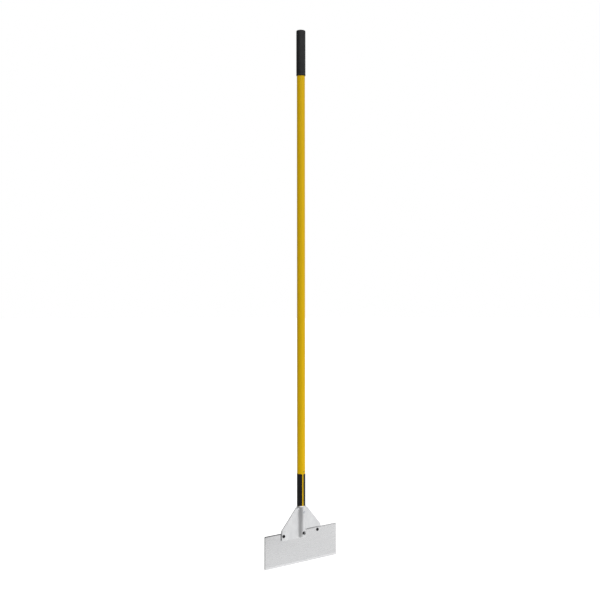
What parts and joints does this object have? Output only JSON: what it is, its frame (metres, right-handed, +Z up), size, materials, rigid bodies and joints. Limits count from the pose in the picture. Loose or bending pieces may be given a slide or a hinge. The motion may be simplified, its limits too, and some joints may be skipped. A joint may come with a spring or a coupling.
{
  "type": "floor scraper",
  "caption": "Long-handled floor scraper: a wide flat blade clamped in a split cast head on a straight yellow handle with a black end grip.",
  "frame": {"origin": "middle of the blade's cutting edge, on its flat ground land", "axes": "+Z up the handle, +X along the blade towards the wing that lies behind it, -Y towards the blade's front face"},
  "size_m": [0.3048, 0.0339, 1.664],
  "materials": {
    "blade_steel": "satin rolled steel, ground at the cutting edge",
    "cast_aluminium": "fine as-cast satin",
    "yellow_fibreglass": "semi-gloss pultruded fibreglass",
    "core_wood": "bare turned hardwood",
    "pin_steel": "dull dark steel",
    "black_label": "plain satin vinyl film",
    "black_vinyl": "soft satin vinyl",
    "black_oxide": "black oxide steel",
    "zinc_plate": "bright zinc plating"
  },
  "bodies": {
    "root": {"blade": "blade_steel", "front_head_half": "cast_aluminium", "rear_head_half": "cast_aluminium", "handle_tube": "yellow_fibreglass", "handle_core": "core_wood", "core_pin": "pin_steel", "label_band": "black_label", "end_grip": "black_vinyl", "left_wing_screw": "black_oxide", "left_wing_flat_washer": "zinc_plate", "left_wing_lock_washer": "zinc_plate", "left_wing_nut": "zinc_plate", "right_wing_screw": "black_oxide", "right_wing_flat_washer": "zinc_plate", "right_wing_lock_washer": "zinc_plate", "right_wing_nut": "zinc_plate", "centre_screw": "black_oxide", "centre_flat_washer": "zinc_plate", "centre_lock_washer": "zinc_plate", "centre_nut": "zinc_plate", "handle_rivet": "zinc_plate"}
  },
  "joints": []
}
